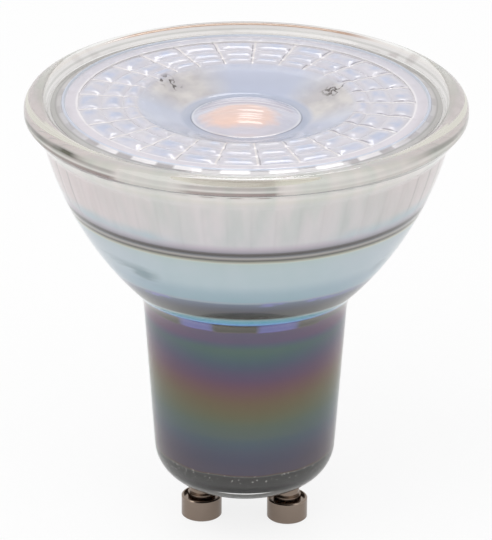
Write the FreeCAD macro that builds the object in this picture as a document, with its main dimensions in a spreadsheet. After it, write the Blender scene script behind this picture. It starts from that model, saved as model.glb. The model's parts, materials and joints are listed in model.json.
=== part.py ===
import FreeCAD, Part
import math
import os
import Sketcher

# Reflector spot lamp with a two-pin twist base: a pressed glass body, a faceted clear lens, the light
# source on its cooling dish, and the driver in its sleeve inside the neck. Millimetres. The lamp stands
# on its pin heads at height 0, its axis is +Z, and the pins stand apart along X.

SIZES = {
    # contact pins
    "pin_spacing": 10.0,
    "pin_head_radius": 2.35,
    "pin_head_height": 2.55,
    "pin_head_bevel": 0.12,
    "pin_head_lip": 0.25,
    "pin_dish_depth": 0.35,
    "pin_ring_radius": 1.6,
    "pin_ring_height": 0.4,
    "pin_waist_radius": 1.25,
    "pin_waist_height": 0.3,
    "pin_stem_radius": 1.4,
    "pin_tenon_radius": 1.2,
    "pin_rivet_radius": 1.7,
    "pin_rivet_height": 0.5,
    "pin_hole_clearance": 0.1,
    "eyelet_radius": 2.0,
    "eyelet_thickness": 0.4,
    # glass body, outside: heights are steps up from the base or down from the rim's crest
    "base_height": 5.55,
    "base_corner_radius": 4.5,
    "neck_foot_radius": 10.15,
    "neck_height": 23.39,
    "neck_fillet_radius": 5.0,
    "cup_height": 23.56,
    "cup_curve_radius": 39.4,
    "cup_curve_rise": 28.62,
    "rim_radius": 25.0,
    "rim_side_depth": 1.1,
    "rim_bead_width": 1.25,
    "rim_bead_curve_radius": 1.18,
    "rim_lip_width": 1.45,
    "rim_lip_depth": 0.8,
    "rim_lip_curve_radius": 1.5,
    "flange_edge_depth": 1.65,
    "flange_foot_depth": 4.25,
    "flange_overhang": 2.03,
    "flange_fillet_radius": 1.2,
    # glass body, inside
    "floor_thickness": 1.95,
    "floor_corner_radius": 1.8,
    "neck_wall": 1.5,
    "funnel_fillet_radius": 3.0,
    "cup_wall_below_ledge": 3.0,
    "cup_wall_above_ledge": 2.0,
    "lens_recess_depth": 1.8,
    "ledge_depth": 9.3,
    "flute_count": 50,
    "flute_depth": 0.2,
    "flute_width": 2.0,
    "flute_foot_gap": 1.3,
    "flute_head_gap": 1.6,
    # lens: radii are steps inward from its edge
    "lens_edge_clearance": 0.3,
    "lens_edge_thickness": 1.0,
    "lens_thickness": 1.25,
    "ridge_inset": 1.4,
    "ridge_height": 0.3,
    "ridge_width": 0.5,
    "flat_band_width": 1.65,
    "facet_count": 25,
    "outer_facet_width": 2.65,
    "middle_facet_width": 2.4,
    "inner_facet_width": 1.7,
    "facet_crown": 0.3,
    "facet_valley_depth": 0.2,
    "facet_groove_width": 0.5,
    "bowl_slope_width": 5.06,
    "bowl_depth": 1.95,
    "bowl_floor_width": 1.07,
    "dome_rise": 1.45,
    "collimator_inset": 0.5,
    "collimator_foot_radius": 4.9,
    "collimator_clearance": 0.55,
    "collimator_curve_radius": 11.0,
    "source_well_radius": 3.6,
    "source_well_web": 1.4,
    "source_well_bulge": 0.7,
    "skirt_clearance": 0.55,
    "skirt_thickness": 0.9,
    "skirt_height": 2.0,
    "skirt_notch_width": 1.4,
    "skirt_notch_height": 1.4,
    "lens_turn": 3.4,
    "leg_count": 3,
    "leg_azimuth": 261.5,
    "leg_offset": 1.2,
    "leg_radius": 0.9,
    "leg_peg_radius": 0.6,
    "leg_peg_length": 0.9,
    "leg_clearance": 0.1,
    "seal_clearance": 0.03,
    "seal_height": 0.7,
    "seal_foot": 0.15,
    # cooling dish, pad, board and light source
    "dish_clearance": 0.3,
    "dish_plate_thickness": 1.0,
    "dish_skirt_thickness": 0.9,
    "dish_depth": 6.2,
    "dish_press_radius": 1.0,
    "lead_hole_spacing": 19.0,
    "lead_hole_clearance": 0.3,
    "pad_radius": 8.5,
    "pad_thickness": 0.15,
    "board_radius": 15.0,
    "board_thickness": 1.0,
    "board_hole_clearance": 0.2,
    "substrate_side": 9.0,
    "substrate_thickness": 0.6,
    "dam_radius": 3.9,
    "dam_width": 0.6,
    "dam_height": 0.4,
    "phosphor_crown": 0.12,
    # driver sleeve and driver
    "sleeve_clearance": 0.25,
    "sleeve_lift": 1.2,
    "sleeve_foot_bevel": 1.2,
    "sleeve_floor": 1.0,
    "sleeve_bore_radius": 7.7,
    "sleeve_rim_width": 1.6,
    "slot_depth": 0.5,
    "slot_clearance": 0.1,
    "driver_face_offset": 0.65,
    "driver_board_thickness": 1.0,
    "driver_board_foot": 0.3,
    "driver_board_margin": 0.6,
    "driver_corner_radius": 1.0,
    "part_gap": 0.1,
    "row_foot": 0.2,
    "row_gap": 0.5,
    "rectifier_width": 4.7,
    "rectifier_height": 4.0,
    "rectifier_thickness": 2.5,
    "can_radius": 3.15,
    "can_length": 11.0,
    "can_groove_level": 1.6,
    "can_groove_depth": 0.25,
    "diode_width": 4.0,
    "diode_height": 2.4,
    "diode_thickness": 2.1,
    "fuse_radius": 1.4,
    "fuse_length": 7.0,
    "fuse_cap_length": 1.1,
    "drum_radius": 3.2,
    "drum_length": 4.8,
    "drum_flange": 0.8,
    "drum_waist_radius": 1.6,
    "winding_radius": 2.8,
    "winding_clearance": 0.05,
    "film_width": 7.2,
    "film_height": 6.4,
    "film_thickness": 4.0,
    "chip_width": 4.9,
    "chip_height": 3.9,
    "chip_thickness": 1.5,
    "chip_leg_length": 0.8,
    "chip_leg_pitch": 1.27,
    "chip_leg_width": 0.42,
    "chip_leg_thickness": 0.38,
    "resistor_width": 2.0,
    "resistor_height": 1.25,
    "resistor_thickness": 0.5,
    "resistor_pitch": 3.0,
    "body_bevel": 0.25,
    # leads
    "mains_lead_radius": 0.5,
    "mains_lead_length": 5.6,
    "led_lead_radius": 0.6,
    "led_lead_spacing": 8.4,
    "led_lead_lap": 4.2,
    "led_lead_rise": 1.2,
    "led_lead_drop": 1.6,
    "led_lead_end": 0.3,
    "led_lead_bend_radius": 3.0,
}


class Size:
    """A length that knows its number and the sheet expression that gives it."""

    def __init__(self, number, text):
        self.number = float(number)
        self.text = text

    def joined(self, other, sign, number):
        return Size(number, "(%s %s %s)" % (self.text, sign, other.text))

    def __add__(self, other):
        other = as_size(other)
        return self.joined(other, "+", self.number + other.number)

    def __sub__(self, other):
        other = as_size(other)
        return self.joined(other, "-", self.number - other.number)

    def __mul__(self, other):
        other = as_size(other)
        return self.joined(other, "*", self.number * other.number)

    def __truediv__(self, other):
        other = as_size(other)
        return self.joined(other, "/", self.number / other.number)

    def __neg__(self):
        return ZERO - self


def as_size(value):
    return value if isinstance(value, Size) else Size(value, repr(float(value)))


def root(value):
    return Size(math.sqrt(value.number), "sqrt(%s)" % value.text)


def cosine(degrees):
    return Size(math.cos(math.radians(degrees.number)), "cos(%s)" % degrees.text)


def sine(degrees):
    return Size(math.sin(math.radians(degrees.number)), "sin(%s)" % degrees.text)


ZERO = Size(0.0, "0")
SAME_POINT = 1e-6
SAME_EDGE = 1e-3

doc = FreeCAD.newDocument("spot_lamp")
sheet = doc.addObject("Spreadsheet::Sheet", "Sizes")
for row, (alias, number) in enumerate(SIZES.items(), start=1):
    sheet.set("A%d" % row, alias)
    sheet.set("B%d" % row, str(number))
    sheet.setAlias("B%d" % row, alias)
worked_out = doc.addObject("App::VarSet", "Levels")
doc.recompute()

nodes = []


def cell(alias):
    return Size(SIZES[alias], "Sizes.%s" % alias)


def level(name, size):
    """Keeps a size that is worked out from the sheet under a name of its own."""
    worked_out.addProperty("App::PropertyFloat", name)
    worked_out.setExpression(name, size.text)
    return Size(size.number, "Levels.%s" % name)


def bind(target, name, value):
    """Ties one property of an object to an expression of the sheet."""
    target.setExpression(name, as_size(value).text)


def place(target, at):
    for axis, value in zip("xyz", at):
        bind(target, "Placement.Base.%s" % axis, value)


def node(target, label):
    target.Label = label
    nodes.append(target)
    return target


# Sketches and features

def new_body(name):
    return doc.addObject("PartDesign::Body", name)


def origin_item(body, role):
    """One of the body's own origin planes or axes."""
    return [item for item in body.Origin.OriginFeatures if item.Role == role][0]


def sketch_on(body, role, name, offset=None):
    """A sketch on one of the body's own origin planes, moved along the plane's normal by offset."""
    sketch = body.newObject("Sketcher::SketchObject", name)
    sketch.AttachmentSupport = [(origin_item(body, role), "")]
    sketch.MapMode = "FlatFace"
    if offset is not None:
        bind(sketch, "AttachmentOffset.Base.z", offset)
    return sketch


def pin_point(sketch, geometry, end, x, y):
    """Fixes one point of the sketch at (x, y)."""
    for kind, value, zero_line in (("DistanceX", x, -2), ("DistanceY", y, -1)):
        value = as_size(value)
        if value.number == 0.0:
            sketch.addConstraint(Sketcher.Constraint("PointOnObject", geometry, end, zero_line))
        else:
            index = sketch.addConstraint(
                Sketcher.Constraint(kind, -1, 1, geometry, end, value.number))
            sketch.setExpression("Constraints[%d]" % index, value.text)


def arc_between(start, stop, radius, side):
    """An arc from start to stop. Its centre lies to the left of that way for side 1, right for -1."""
    middle = (start + stop) * 0.5
    way = stop - start
    half = way.Length / 2
    across = FreeCAD.Vector(-way.y, way.x, 0).normalize() * side
    centre = middle + across * math.sqrt(radius * radius - half * half)
    return Part.Arc(start, centre - across * radius, stop)


def outline(sketch, corners):
    """A closed outline. A corner is (x, y), or (x, y, radius, side) where an arc leads to the next."""
    points = [FreeCAD.Vector(as_size(c[0]).number, as_size(c[1]).number, 0) for c in corners]
    starts = []
    stops = []
    for index, corner in enumerate(corners):
        start = points[index]
        stop = points[(index + 1) % len(points)]
        if len(corner) == 2:
            edge = sketch.addGeometry(Part.LineSegment(start, stop), False)
            starts.append((edge, 1))
            stops.append((edge, 2))
            continue
        curve = arc_between(start, stop, corner[2].number, corner[3])
        edge = sketch.addGeometry(curve, False)
        forward = sketch.getPoint(edge, 1).distanceToPoint(start) < SAME_POINT
        starts.append((edge, 1 if forward else 2))
        stops.append((edge, 2 if forward else 1))
        place_of_radius = sketch.addConstraint(
            Sketcher.Constraint("Radius", edge, corner[2].number))
        sketch.setExpression("Constraints[%d]" % place_of_radius, corner[2].text)
    for index, corner in enumerate(corners):
        before = stops[index - 1]
        after = starts[index]
        sketch.addConstraint(
            Sketcher.Constraint("Coincident", before[0], before[1], after[0], after[1]))
        pin_point(sketch, after[0], after[1], corner[0], corner[1])


def circle(sketch, x, y, radius):
    centre = FreeCAD.Vector(as_size(x).number, as_size(y).number, 0)
    edge = sketch.addGeometry(Part.Circle(centre, FreeCAD.Vector(0, 0, 1), radius.number), False)
    index = sketch.addConstraint(Sketcher.Constraint("Radius", edge, radius.number))
    sketch.setExpression("Constraints[%d]" % index, radius.text)
    pin_point(sketch, edge, 3, x, y)


def rectangle(sketch, left, low, right, high):
    outline(sketch, [(left, low), (right, low), (right, high), (left, high)])


def revolved(body, name, corners, axis="V_Axis"):
    """Turns an outline of (x, z) corners about the upright axis, or about the level one."""
    sketch = sketch_on(body, "XZ_Plane", name + "_profile")
    outline(sketch, corners)
    turned = body.newObject("PartDesign::Revolution", name)
    turned.Profile = sketch
    turned.ReferenceAxis = (sketch, [axis])
    turned.Angle = 360
    doc.recompute()
    return turned


def padded(body, name, sketch, length):
    pad = body.newObject("PartDesign::Pad", name)
    pad.Profile = sketch
    bind(pad, "Length", length)
    doc.recompute()
    return pad


def pocketed(body, name, sketch, length, reverse=False):
    """Cuts a sketch along its plane's negative normal, or along the normal when reverse is set."""
    before = body.Shape.Volume
    pocket = body.newObject("PartDesign::Pocket", name)
    pocket.Profile = sketch
    pocket.Reversed = reverse
    bind(pocket, "Length", length)
    doc.recompute()
    if body.Shape.Volume > before - SAME_POINT:
        raise RuntimeError(name + " cuts nothing")
    return pocket


def turned_copies(body, name, feature, count):
    """Copies of a feature, spaced evenly round the lamp's axis."""
    pattern = body.newObject("PartDesign::PolarPattern", name)
    pattern.Originals = [feature]
    pattern.Axis = (origin_item(body, "Z_Axis"), [""])
    pattern.Angle = 360
    bind(pattern, "Occurrences", count)
    body.Tip = pattern
    doc.recompute()
    return pattern


def mirrored(body, name, feature):
    """The feature's mirror image across the plane between the pins."""
    mirror = body.newObject("PartDesign::Mirrored", name)
    mirror.Originals = [feature]
    mirror.MirrorPlane = (origin_item(body, "YZ_Plane"), [""])
    body.Tip = mirror
    doc.recompute()


def ring_edge(feature, radius, height):
    """The name of the round edge with this radius at this height."""
    best = None
    for index, edge in enumerate(feature.Shape.Edges, start=1):
        if edge.Curve.TypeId != "Part::GeomCircle":
            continue
        error = abs(edge.Curve.Radius - radius.number) + abs(edge.Curve.Center.z - height.number)
        if best is None or error < best[0]:
            best = (error, index)
    if best[0] > SAME_EDGE:
        raise RuntimeError("no ring at radius %.3f, height %.3f" % (radius.number, height.number))
    return "Edge%d" % best[1]


def rounded(body, name, base, radius, at_radius, at_height):
    """Rounds the ring-shaped edge that has this radius at this height."""
    fillet = body.newObject("PartDesign::Fillet", name)
    fillet.Base = (base, [ring_edge(base, at_radius, at_height)])
    bind(fillet, "Radius", radius)
    doc.recompute()
    return fillet


# Levels and outlines that several pieces share

base_level = cell("base_height")
floor_level = level("floor_level", base_level + cell("floor_thickness"))
neck_top = level("neck_top", base_level + cell("neck_height"))
crest = level("crest", neck_top + cell("cup_height"))
lens_seat = level("lens_seat", crest - cell("lens_recess_depth"))
lens_face = level("lens_face", lens_seat + cell("lens_thickness"))
ledge_level = level("ledge_level", lens_seat - cell("ledge_depth"))
dish_foot = level("dish_foot", ledge_level - cell("dish_depth"))
plate_top = level("plate_top", ledge_level + cell("dish_plate_thickness"))
board_foot = level("board_foot", plate_top + cell("pad_thickness"))
board_top = level("board_top", board_foot + cell("board_thickness"))
substrate_top = level("substrate_top", board_top + cell("substrate_thickness"))
dam_top = level("dam_top", substrate_top + cell("dam_height"))

rim_radius = cell("rim_radius")
crest_radius = level("crest_radius", rim_radius - cell("rim_bead_width"))
seat_radius = level("seat_radius", crest_radius - cell("rim_lip_width"))
lens_radius = level("lens_radius", seat_radius - cell("lens_edge_clearance"))
ridge_radius = level("ridge_radius", lens_radius - cell("ridge_inset"))
facets_outer = level("facets_outer", ridge_radius - cell("flat_band_width"))
facets_inner = level("facets_inner", facets_outer - cell("outer_facet_width")
                     - cell("middle_facet_width") - cell("inner_facet_width"))
collimator_radius = level("collimator_radius", facets_inner - cell("collimator_inset"))
leg_circle_radius = level("leg_circle_radius", collimator_radius + cell("leg_offset"))
pin_offset = level("pin_offset", cell("pin_spacing") / 2)
lead_hole_offset = level("lead_hole_offset", cell("lead_hole_spacing") / 2)
lead_hole_radius = level("lead_hole_radius", cell("led_lead_radius") + cell("lead_hole_clearance"))

# The cup's curves share one centre, set so that the outer one runs out under the flange.
cup_outside = cell("cup_curve_radius")
cup_low_inside = level("cup_low_inside", cup_outside - cell("cup_wall_below_ledge"))
cup_high_inside = level("cup_high_inside", cup_outside - cell("cup_wall_above_ledge"))
curve_height = level("curve_height", neck_top + cell("cup_curve_rise"))
flange_foot = level("flange_foot", crest - cell("flange_foot_depth"))
flange_radius = level("flange_radius", rim_radius - cell("flange_overhang"))
flange_drop = flange_foot - curve_height
flange_reach = root(cup_outside * cup_outside - flange_drop * flange_drop)
curve_reach = level("curve_reach", flange_reach - flange_radius)


def cup_radius(curve, height):
    """The lamp's radius at a height on one of the cup's curves."""
    rise = height - curve_height
    return root(curve * curve - rise * rise) - curve_reach


neck_foot_radius = cell("neck_foot_radius")
neck_top_radius = level("neck_top_radius", cup_radius(cup_outside, neck_top))
neck_slope = level("neck_slope", (neck_top_radius - neck_foot_radius) / cell("neck_height"))


def neck_radius(inset, height):
    """The radius at a height on the neck's tapered side, moved in by inset."""
    return neck_foot_radius + neck_slope * (height - base_level) - inset


def funnel_height(inset, curve):
    """The height at which the neck's side, moved in by inset, meets a cup curve."""
    reach = neck_radius(inset, curve_height) + curve_reach
    square = neck_slope * neck_slope + 1
    half = neck_slope * reach
    return curve_height - (half + root(half * half - square * (reach * reach - curve * curve))) / square


neck_wall = cell("neck_wall")
funnel_level = level("funnel_level", funnel_height(neck_wall, cup_low_inside))


# Glass body: one pressed shell, turned, then fluted and drilled

def make_glass_body():
    body = new_body("glass_body")
    lip = crest - cell("rim_lip_depth")
    funnel_radius = neck_radius(neck_wall, funnel_level)
    floor_radius = neck_radius(neck_wall, floor_level)
    profile = [
        (ZERO, base_level),
        (neck_foot_radius, base_level),
        (neck_top_radius, neck_top, cup_outside, 1),
        (flange_radius, flange_foot),
        (rim_radius, crest - cell("flange_edge_depth")),
        (rim_radius, crest - cell("rim_side_depth"), cell("rim_bead_curve_radius"), 1),
        (crest_radius, crest, cell("rim_lip_curve_radius"), 1),
        (seat_radius, lip),
        (seat_radius, lens_seat),
        (cup_radius(cup_high_inside, lens_seat), lens_seat, cup_high_inside, -1),
        (cup_radius(cup_high_inside, ledge_level), ledge_level),
        (cup_radius(cup_low_inside, ledge_level), ledge_level, cup_low_inside, -1),
        (funnel_radius, funnel_level),
        (floor_radius, floor_level),
        (ZERO, floor_level),
    ]
    shell = revolved(body, "glass_shell", profile)
    for name, at_radius, at_height in (
        ("base_corner", neck_foot_radius, base_level),
        ("neck_fillet", neck_top_radius, neck_top),
        ("flange_fillet", flange_radius, flange_foot),
        ("floor_corner", floor_radius, floor_level),
        ("funnel_fillet", funnel_radius, funnel_level),
    ):
        shell = rounded(body, name, shell, cell(name + "_radius"), at_radius, at_height)

    # Each flute is a shallow round hollow that runs up the inner wall.
    sections = []
    depth = cell("flute_depth")
    half = cell("flute_width") / 2
    hollow = (half * half + depth * depth) / (depth * 2)
    foot = ledge_level + cell("flute_foot_gap")
    head = lens_seat - cell("flute_head_gap")
    for name, height in (("flute_foot", foot), ("flute_middle", (foot + head) / 2), ("flute_head", head)):
        wall = cup_radius(cup_high_inside, height)
        section = sketch_on(body, "XY_Plane", name, height)
        outline(section, [
            (wall, -half, hollow, 1),
            (wall, half),
            (wall - depth * 2, half),
            (wall - depth * 2, -half),
        ])
        sections.append(section)
    flute = body.newObject("PartDesign::SubtractiveLoft", "flute")
    flute.Profile = sections[0]
    flute.Sections = sections[1:]
    doc.recompute()
    turned_copies(body, "flutes", flute, cell("flute_count"))

    hole_radius = cell("pin_tenon_radius") + cell("pin_hole_clearance")
    holes = sketch_on(body, "XY_Plane", "pin_holes_plan", floor_level)
    circle(holes, pin_offset, ZERO, hole_radius)
    circle(holes, -pin_offset, ZERO, hole_radius)
    pocketed(body, "pin_holes", holes, cell("floor_thickness"))
    return node(body, "glass_body")


# Contact pins and the eyelets that they are riveted over

def make_pin(side, offset):
    """A turned pin: its head is dished on top round a ring, under a waist and a stem."""
    body = new_body("contact_pin_" + side)
    head = cell("pin_head_radius")
    bevel = cell("pin_head_bevel")
    head_top = cell("pin_head_height")
    lip = head - cell("pin_head_lip")
    dish = head_top - cell("pin_dish_depth")
    ring_top = head_top + cell("pin_ring_height")
    waist_top = ring_top + cell("pin_waist_height")
    eyelet_top = floor_level + cell("eyelet_thickness")
    rivet_top = eyelet_top + cell("pin_rivet_height")
    revolved(body, "turned_pin_" + side, [
        (ZERO, ZERO),
        (head - bevel, ZERO),
        (head, bevel),
        (head, head_top - bevel),
        (head - bevel, head_top),
        (lip, head_top),
        (lip, dish),
        (cell("pin_ring_radius"), dish),
        (cell("pin_ring_radius"), ring_top),
        (cell("pin_waist_radius"), ring_top),
        (cell("pin_waist_radius"), waist_top),
        (cell("pin_stem_radius"), waist_top),
        (cell("pin_stem_radius"), base_level),
        (cell("pin_tenon_radius"), base_level),
        (cell("pin_tenon_radius"), eyelet_top),
        (cell("pin_rivet_radius"), eyelet_top),
        (cell("pin_tenon_radius"), rivet_top),
        (ZERO, rivet_top),
    ])
    place(body, (offset, ZERO, ZERO))
    node(body, "contact_pin_" + side)
    return rivet_top


def make_eyelet(side, offset):
    body = new_body("pin_eyelet_" + side)
    bore = cell("pin_tenon_radius") + cell("pin_hole_clearance")
    plan = sketch_on(body, "XY_Plane", "eyelet_plan_" + side)
    circle(plan, ZERO, ZERO, cell("eyelet_radius"))
    circle(plan, ZERO, ZERO, bore)
    padded(body, "eyelet_" + side, plan, cell("eyelet_thickness"))
    place(body, (offset, ZERO, floor_level))
    node(body, "pin_eyelet_" + side)


# Lens: one clear moulding, turned, then its facets, skirt lugs and legs

def crown_radius(left, right):
    """The radius of an arc that rises by the facet's crown between two ring radii."""
    half = (right - left) / 2
    crown = cell("facet_crown")
    return (half * half + crown * crown) / (crown * 2)


def make_lens():
    body = new_body("lens")
    rings = [facets_inner]
    for width in ("inner_facet_width", "middle_facet_width", "outer_facet_width"):
        rings.append(rings[-1] + cell(width))
    valley = lens_face - cell("facet_valley_depth")
    bowl_floor = lens_face - cell("bowl_depth")
    bowl_radius = facets_inner - cell("bowl_slope_width")
    dome = bowl_radius - cell("bowl_floor_width")
    rise = cell("dome_rise")
    dome_curve = (dome * dome + rise * rise) / (rise * 2)
    ridge_half = cell("ridge_width") / 2
    skirt_foot = level("skirt_foot", lens_seat - cell("skirt_height"))
    skirt = level("skirt_radius", cup_radius(cup_high_inside, skirt_foot) - cell("skirt_clearance"))
    skirt_inside = skirt - cell("skirt_thickness")
    foot = dam_top + cell("collimator_clearance")
    well = cell("source_well_radius")
    well_top = bowl_floor - cell("source_well_web")
    bulge = cell("source_well_bulge")
    well_curve = (well * well + bulge * bulge) / (bulge * 2)
    revolved(body, "lens_moulding", [
        (ZERO, bowl_floor + rise, dome_curve, -1),
        (dome, bowl_floor),
        (bowl_radius, bowl_floor),
        (rings[0], valley, crown_radius(rings[0], rings[1]), -1),
        (rings[1], valley, crown_radius(rings[1], rings[2]), -1),
        (rings[2], valley, crown_radius(rings[2], rings[3]), -1),
        (rings[3], valley),
        (rings[3], lens_face),
        (ridge_radius - ridge_half, lens_face),
        (ridge_radius, lens_face + cell("ridge_height")),
        (ridge_radius + ridge_half, lens_face),
        (lens_radius, lens_seat + cell("lens_edge_thickness")),
        (lens_radius, lens_seat),
        (skirt, lens_seat),
        (skirt, skirt_foot),
        (skirt_inside, skirt_foot),
        (skirt_inside, lens_seat),
        (collimator_radius, lens_seat, cell("collimator_curve_radius"), -1),
        (cell("collimator_foot_radius"), foot),
        (well, foot),
        (well, well_top, well_curve, -1),
        (ZERO, well_top - bulge),
    ])

    # A radial V groove parts each facet from the next in all three rings.
    crest = valley + cell("facet_crown")
    groove_half = cell("facet_groove_width") / 2
    section = sketch_on(body, "YZ_Plane", "facet_groove_section", rings[0])
    outline(section, [(ZERO, valley), (groove_half * 2, crest + cell("facet_crown")),
                      (-groove_half * 2, crest + cell("facet_crown"))])
    groove = pocketed(body, "facet_groove", section, rings[3] - rings[0], reverse=True)
    turned_copies(body, "facet_grooves", groove, cell("facet_count"))

    # Notches part the skirt into lugs. They lie under the middles of the facets.
    notch_half = cell("skirt_notch_width") / 2
    notch = sketch_on(body, "XY_Plane", "skirt_notch_plan", skirt_foot)
    rectangle(notch, -skirt - notch_half, -notch_half, -skirt_inside + notch_half, notch_half)
    cut = pocketed(body, "skirt_notch", notch, cell("skirt_notch_height"), reverse=True)
    turned_copies(body, "skirt_notches", cut, cell("facet_count"))

    # Three legs stand over the board, each with a peg that drops into one of its holes.
    leg_end = board_top + cell("leg_clearance")
    azimuth = cell("leg_azimuth") - cell("lens_turn")
    legs = []
    for name, radius, start, length in (
        ("leg", cell("leg_radius"), leg_end, lens_seat - leg_end),
        ("peg", cell("leg_peg_radius"), leg_end - cell("leg_peg_length"), cell("leg_peg_length")),
    ):
        plan = sketch_on(body, "XY_Plane", name + "_plan", start)
        circle(plan, leg_circle_radius * cosine(azimuth), leg_circle_radius * sine(azimuth), radius)
        legs.append(padded(body, name, plan, length))
    pattern = turned_copies(body, "legs", legs[0], cell("leg_count"))
    pattern.Originals = legs
    body.Placement.Rotation = FreeCAD.Rotation(FreeCAD.Vector(0, 0, 1), SIZES["lens_turn"])
    bind(body, "Placement.Rotation.Angle", cell("lens_turn"))
    doc.recompute()
    return node(body, "lens")


def make_seal():
    body = new_body("lens_seal")
    gap = cell("seal_clearance")
    low = lens_seat + cell("seal_foot")
    high = low + cell("seal_height")
    revolved(body, "seal_ring", [
        (lens_radius + gap, low),
        (seat_radius - gap, low),
        (seat_radius - gap, high),
        (lens_radius + gap, high),
    ])
    return node(body, "lens_seal")


# Cooling dish, pad, board and light source

def make_dish():
    body = new_body("heat_spreader")
    clearance = cell("dish_clearance")
    outside = cup_low_inside - clearance
    inside = outside - cell("dish_skirt_thickness")
    plate_radius = cup_radius(cup_high_inside, ledge_level) - clearance
    inner_corner = cup_radius(inside, ledge_level)
    dish = revolved(body, "pressed_dish", [
        (ZERO, plate_top),
        (plate_radius, plate_top),
        (plate_radius, ledge_level),
        (cup_radius(outside, ledge_level), ledge_level, outside, -1),
        (cup_radius(outside, dish_foot), dish_foot),
        (cup_radius(inside, dish_foot), dish_foot, inside, 1),
        (inner_corner, ledge_level),
        (ZERO, ledge_level),
    ])
    rounded(body, "press_corner", dish, cell("dish_press_radius"), inner_corner, ledge_level)
    holes = sketch_on(body, "XY_Plane", "dish_lead_holes_plan", plate_top)
    circle(holes, lead_hole_offset, ZERO, lead_hole_radius)
    circle(holes, -lead_hole_offset, ZERO, lead_hole_radius)
    pocketed(body, "dish_lead_holes", holes, cell("dish_plate_thickness"))
    return node(body, "heat_spreader")


def make_pad():
    pad = doc.addObject("Part::Cylinder", "thermal_pad")
    bind(pad, "Radius", cell("pad_radius"))
    bind(pad, "Height", cell("pad_thickness"))
    place(pad, (ZERO, ZERO, plate_top))
    return node(pad, "thermal_pad")


def make_led_board():
    body = new_body("led_board")
    plan = sketch_on(body, "XY_Plane", "led_board_plan", board_foot)
    circle(plan, ZERO, ZERO, cell("board_radius"))
    padded(body, "led_board_disc", plan, cell("board_thickness"))
    leads = sketch_on(body, "XY_Plane", "led_board_lead_holes_plan", board_top)
    circle(leads, lead_hole_offset, ZERO, lead_hole_radius)
    circle(leads, -lead_hole_offset, ZERO, lead_hole_radius)
    pocketed(body, "led_board_lead_holes", leads, cell("board_thickness"))
    peg = sketch_on(body, "XY_Plane", "peg_hole_plan", board_top)
    azimuth = cell("leg_azimuth")
    circle(peg, leg_circle_radius * cosine(azimuth), leg_circle_radius * sine(azimuth),
           cell("leg_peg_radius") + cell("board_hole_clearance"))
    hole = pocketed(body, "peg_hole", peg, cell("board_thickness"))
    turned_copies(body, "peg_holes", hole, cell("leg_count"))
    return node(body, "led_board")


def make_light_source():
    side = cell("substrate_side")
    plate = doc.addObject("Part::Box", "led_substrate")
    bind(plate, "Length", side)
    bind(plate, "Width", side)
    bind(plate, "Height", cell("substrate_thickness"))
    place(plate, (-side / 2, -side / 2, board_top))
    node(plate, "led_substrate")

    outer = cell("dam_radius")
    inner = outer - cell("dam_width")
    height = cell("dam_height")
    dam = new_body("led_dam")
    revolved(dam, "dam_bead", [
        (inner, substrate_top),
        (outer, substrate_top),
        (outer, substrate_top + height / 2),
        (outer - cell("dam_width") / 4, substrate_top + height),
        (inner, substrate_top + height),
    ])
    node(dam, "led_dam")

    crown = cell("phosphor_crown")
    curve = (inner * inner + crown * crown) / (crown * 2)
    fill = new_body("led_phosphor")
    revolved(fill, "phosphor_fill", [
        (ZERO, substrate_top),
        (inner, substrate_top),
        (inner, substrate_top + height - crown, curve, 1),
        (ZERO, substrate_top + height),
    ])
    node(fill, "led_phosphor")


# Driver sleeve: a tapered cup that follows the neck and flares under the dish

sleeve_foot = level("sleeve_foot", floor_level + cell("sleeve_lift"))
sleeve_floor_top = level("sleeve_floor_top", sleeve_foot + cell("sleeve_floor"))
bore_radius = cell("sleeve_bore_radius")
driver_face = -cell("driver_face_offset")
driver_back = driver_face - cell("driver_board_thickness")
driver_foot = sleeve_floor_top + cell("driver_board_foot")
driver_half = bore_radius + cell("slot_depth") - cell("slot_clearance") * 2
row_gap = cell("row_gap")


def stacked(prefix, foot, pieces):
    """Where each piece of a row starts, going up from foot with gaps between, and the row's top."""
    starts = {}
    top = foot
    for name, height in pieces:
        starts[name] = level("%s_%s_foot" % (prefix, name), top + row_gap)
        top = starts[name] + height
    starts["top"] = top
    return starts


row_foot = driver_foot + cell("row_foot") - row_gap
front_row = stacked("front", row_foot, [
    ("rectifier", cell("rectifier_height")),
    ("can", cell("can_length")),
    ("diode", cell("diode_height")),
])
back_row = stacked("back", row_foot, [
    ("fuse", cell("fuse_radius") * 2),
    ("drum", cell("drum_radius") * 2),
    ("film", cell("film_height")),
    ("chip", cell("chip_height") + cell("chip_leg_length") * 2),
    ("resistor", cell("resistor_height")),
])
driver_top = level("driver_top", back_row["top"] + cell("driver_board_margin"))


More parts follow.
